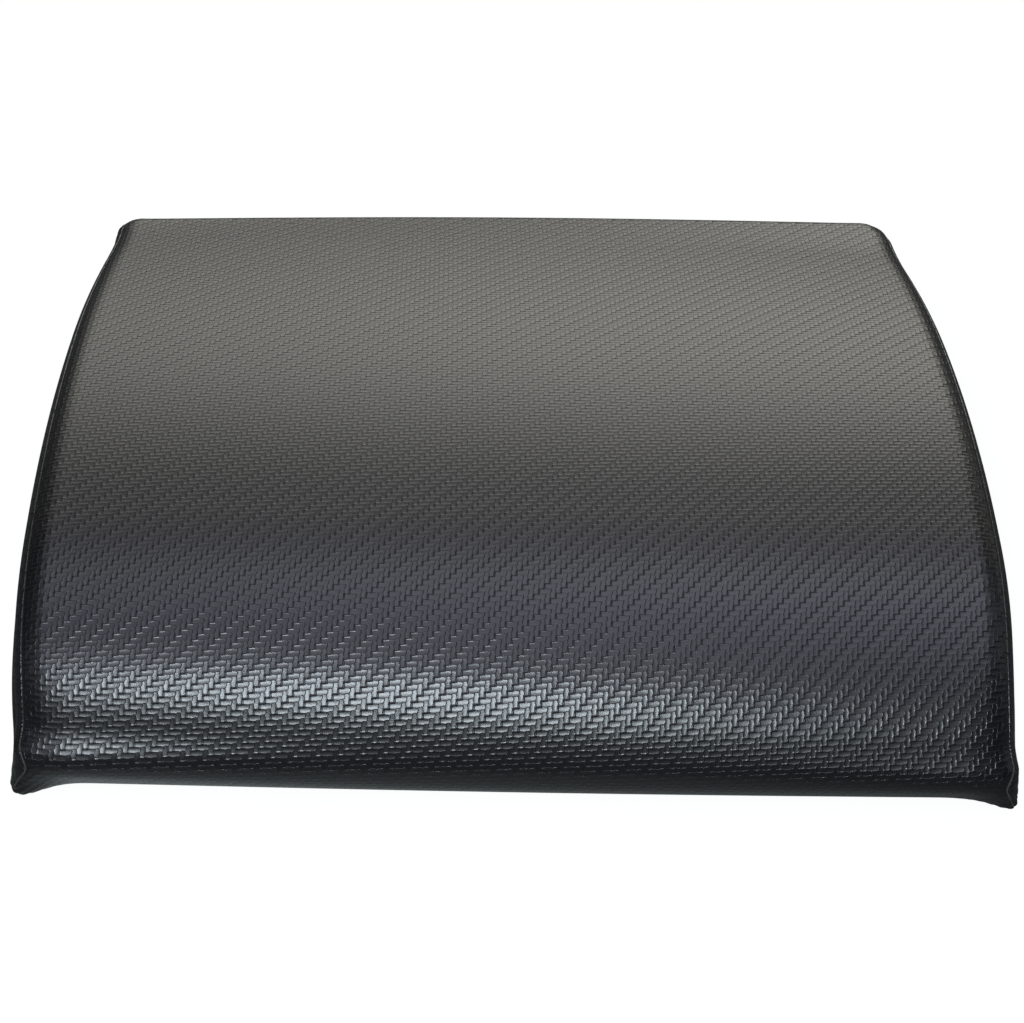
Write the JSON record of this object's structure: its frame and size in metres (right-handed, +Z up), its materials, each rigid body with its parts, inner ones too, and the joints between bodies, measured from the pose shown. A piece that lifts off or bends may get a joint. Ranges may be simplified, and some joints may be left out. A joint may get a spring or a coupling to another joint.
{
  "type": "ab mat",
  "caption": "Low wedge-shaped sit-up cushion: a foam core in a sewn carbon-look vinyl cover that a zip in the base closes.",
  "frame": {"origin": "on the floor, under the middle of the mat's bounding box", "axes": "+Z up, -Y towards the tall front end, +Y towards the thin rear end, +X to the right as seen from the front"},
  "size_m": [0.365, 0.3381, 0.07],
  "materials": {
    "vinyl": "near-black vinyl with a semi-gloss embossed twill weave",
    "base_cloth": "matt black non-slip coated cloth with fine raised dots",
    "foam": "matt dark grey firm foam",
    "zip_tape": "matt black woven tape",
    "nylon": "black nylon zip teeth",
    "black_zinc": "black lacquered zinc"
  },
  "bodies": {
    "cover": {"foam_core": "foam", "top_panel": "vinyl", "left_side_panel": "vinyl", "right_side_panel": "vinyl", "base_panel": "base_cloth", "rear_base_panel": "base_cloth", "zip_tape_front": "zip_tape", "zip_tape_rear": "zip_tape", "zip_teeth_front": "nylon", "zip_teeth_rear": "nylon", "zip_top_stop_front": "black_zinc", "zip_top_stop_rear": "black_zinc", "zip_bottom_stop": "black_zinc"},
    "slider": {"zip_slider": "black_zinc"},
    "pull_tab": {"zip_pull_tab": "black_zinc"}
  },
  "joints": [
    {"name": "zip_slide", "type": "slide", "parent": "cover", "child": "slider", "axis": [-1, 0, 0], "range_m": [0, 0.226]},
    {"name": "pull_tab_swing", "type": "hinge", "parent": "slider", "child": "pull_tab", "pos_m": [0.113, 0.117, 0.00295], "axis": [0, -1, 0], "range_deg": [0, 180]}
  ]
}
